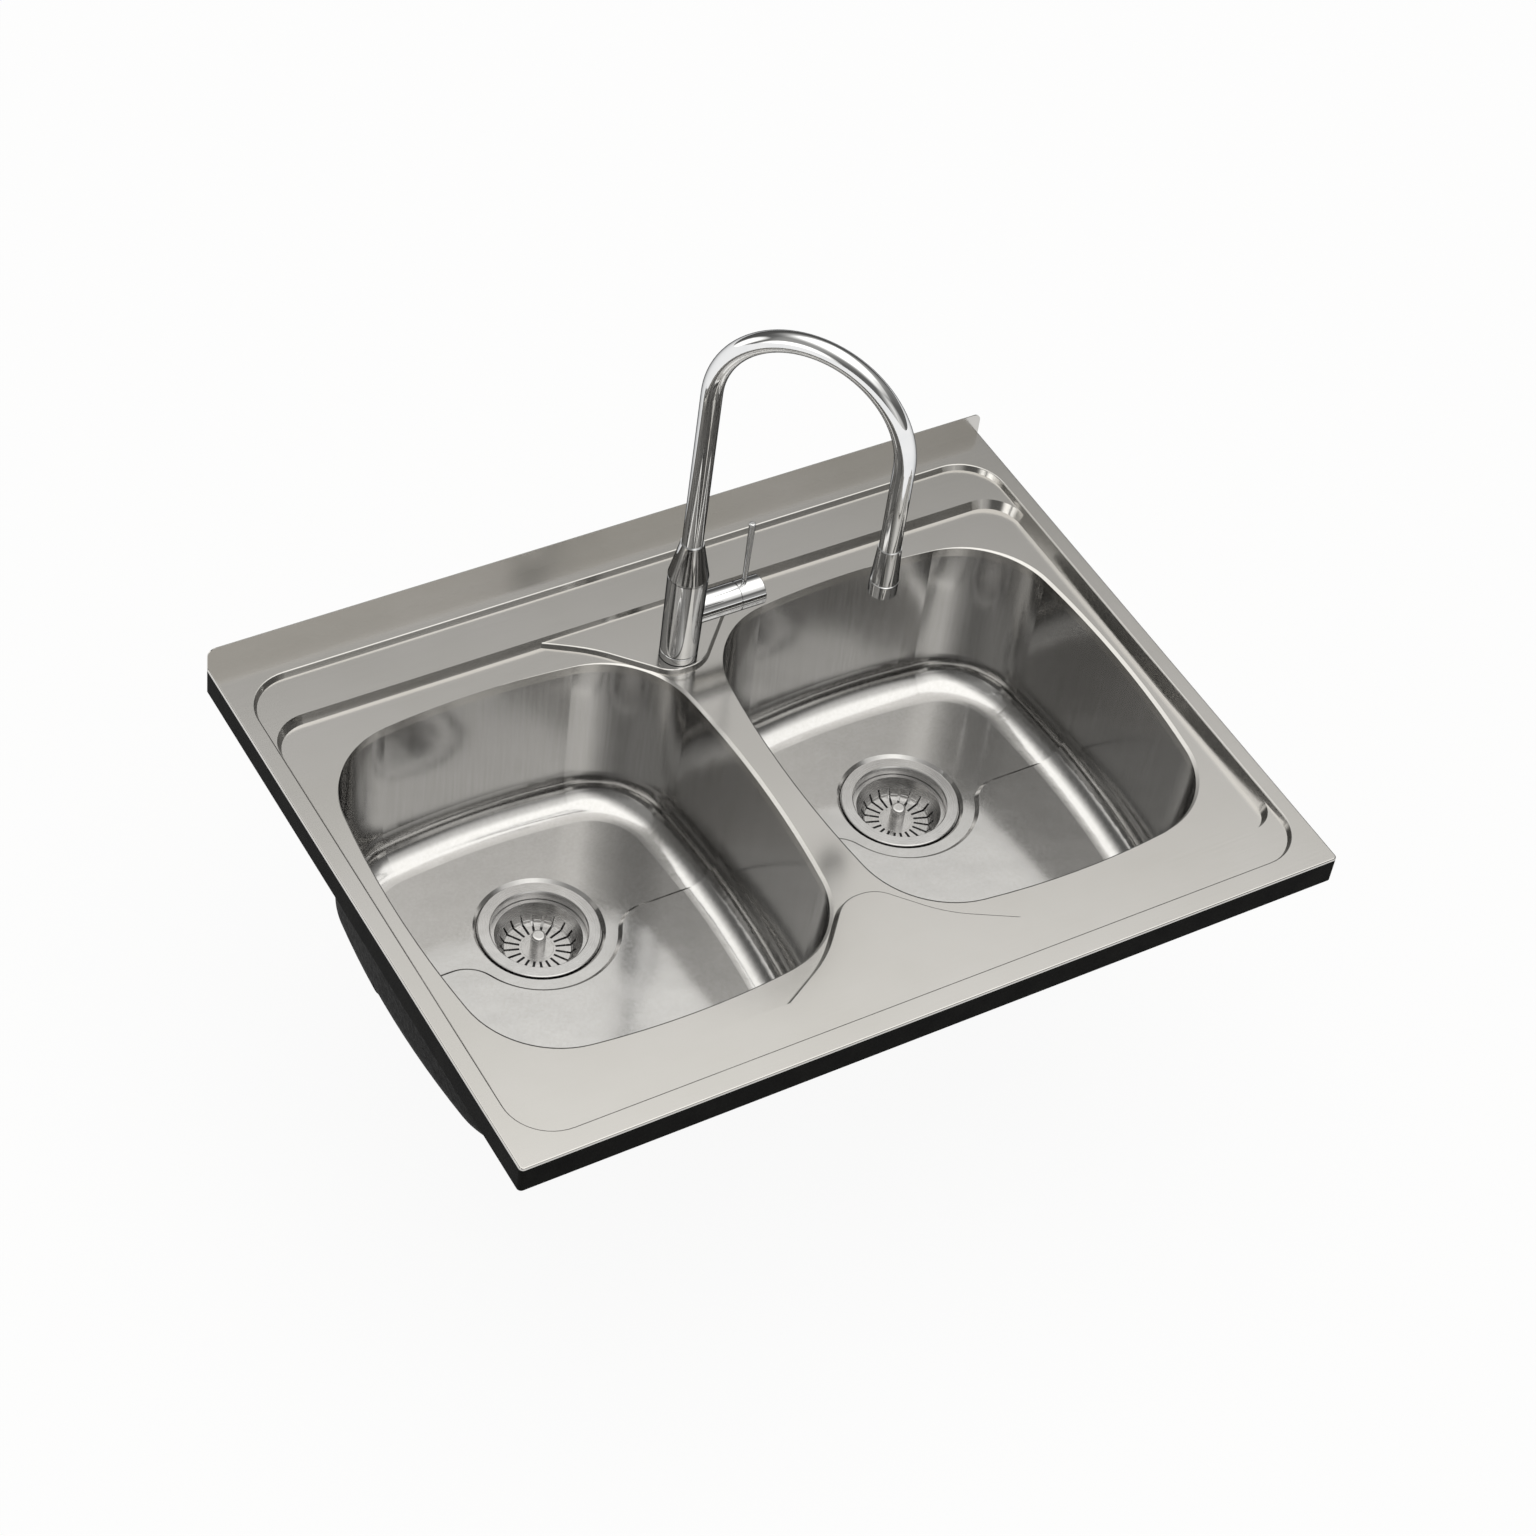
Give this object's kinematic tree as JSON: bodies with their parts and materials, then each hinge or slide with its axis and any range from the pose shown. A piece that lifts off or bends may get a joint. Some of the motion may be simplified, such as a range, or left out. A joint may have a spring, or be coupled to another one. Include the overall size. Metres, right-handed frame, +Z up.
{
  "type": "kitchen sink",
  "caption": "Lay-on stainless steel kitchen sink with side-by-side pressed bowls, rear upstand, lift-out basket strainers and a side-lever swivel gooseneck tap.",
  "frame": {"origin": "centre of the seat plane, under the middle of the top, where the rails rest on the base unit", "axes": "+X to the right seen from the front, +Y to the rear edge, +Z up"},
  "size_m": [0.8, 0.6, 0.755],
  "materials": {
    "deck_steel": "satin",
    "bowl_steel": "satin",
    "black_coated_steel": "semi-gloss",
    "sound_coat": "matte",
    "zinc_steel": "zinc plated",
    "tap_chrome": "polished",
    "polished_steel": "polished",
    "turned_brass": "turned",
    "sealing_rubber": "matte",
    "white_plastic": "moulded",
    "grey_plastic": "moulded"
  },
  "bodies": {
    "sink": {"deck": "deck_steel", "rim_strip": "sealing_rubber", "front_rail": "black_coated_steel", "right_rail": "black_coated_steel", "rear_rail": "black_coated_steel", "left_rail": "black_coated_steel", "fixing_brackets": "zinc_steel", "bracket_rivets": "zinc_steel", "tap_base_seal": "sealing_rubber", "tap_base_ring": "tap_chrome", "tap_body": "tap_chrome", "tap_shank": "turned_brass", "tap_gasket": "sealing_rubber", "tap_washer": "zinc_steel", "tap_nut": "turned_brass", "spout_bush": "white_plastic", "spout_seals": "sealing_rubber", "valve_arm": "tap_chrome", "cartridge_body": "grey_plastic", "cartridge_nut": "turned_brass", "left_bowl": "bowl_steel", "left_undercoat": "sound_coat", "left_strainer_body": "polished_steel", "left_strainer_seal": "sealing_rubber", "left_strainer_washer": "sealing_rubber", "left_strainer_ring": "grey_plastic", "left_strainer_nut": "white_plastic", "left_tailpiece_washer": "sealing_rubber", "left_tailpiece": "white_plastic", "left_tailpiece_nut": "white_plastic", "right_bowl": "bowl_steel", "right_undercoat": "sound_coat", "right_strainer_body": "polished_steel", "right_strainer_seal": "sealing_rubber", "right_strainer_washer": "sealing_rubber", "right_strainer_ring": "grey_plastic", "right_strainer_nut": "white_plastic", "right_tailpiece_washer": "sealing_rubber", "right_tailpiece": "white_plastic", "right_tailpiece_nut": "white_plastic"},
    "spout": {"spout_clip": "zinc_steel", "spout_tube": "tap_chrome", "spout_collar": "tap_chrome", "nozzle": "tap_chrome", "aerator_ring": "tap_chrome", "aerator_insert": "grey_plastic", "aerator_washer": "sealing_rubber"},
    "valve_rotor": {"cartridge_rotor": "turned_brass"},
    "handle": {"handle_cap": "tap_chrome", "lever_pin": "tap_chrome", "pivot_pin": "zinc_steel"},
    "left_basket_set": {"left_basket": "polished_steel", "left_basket_knob": "polished_steel", "left_basket_stopper": "sealing_rubber"},
    "right_basket_set": {"right_basket": "polished_steel", "right_basket_knob": "polished_steel", "right_basket_stopper": "sealing_rubber"}
  },
  "joints": [
    {"name": "spout_swivel", "type": "hinge", "parent": "sink", "child": "spout", "pos_m": [-0.005, 0.16, 0.1165], "axis": [0, 0, 1], "range_deg": [-105, 35]},
    {"name": "lever_turn", "type": "hinge", "parent": "sink", "child": "valve_rotor", "pos_m": [0.0555, 0.16, 0.0695], "axis": [1, 0, 0], "range_deg": [-45, 45]},
    {"name": "lever_tilt", "type": "hinge", "parent": "valve_rotor", "child": "handle", "pos_m": [0.0555, 0.16, 0.0695], "axis": [0, 1, 0], "range_deg": [0, 18]},
    {"name": "left_basket_lift", "type": "slide", "parent": "sink", "child": "left_basket_set", "axis": [0, 0, 1], "range_m": [0, 0.19]},
    {"name": "right_basket_lift", "type": "slide", "parent": "sink", "child": "right_basket_set", "axis": [0, 0, 1], "range_m": [0, 0.19]}
  ]
}
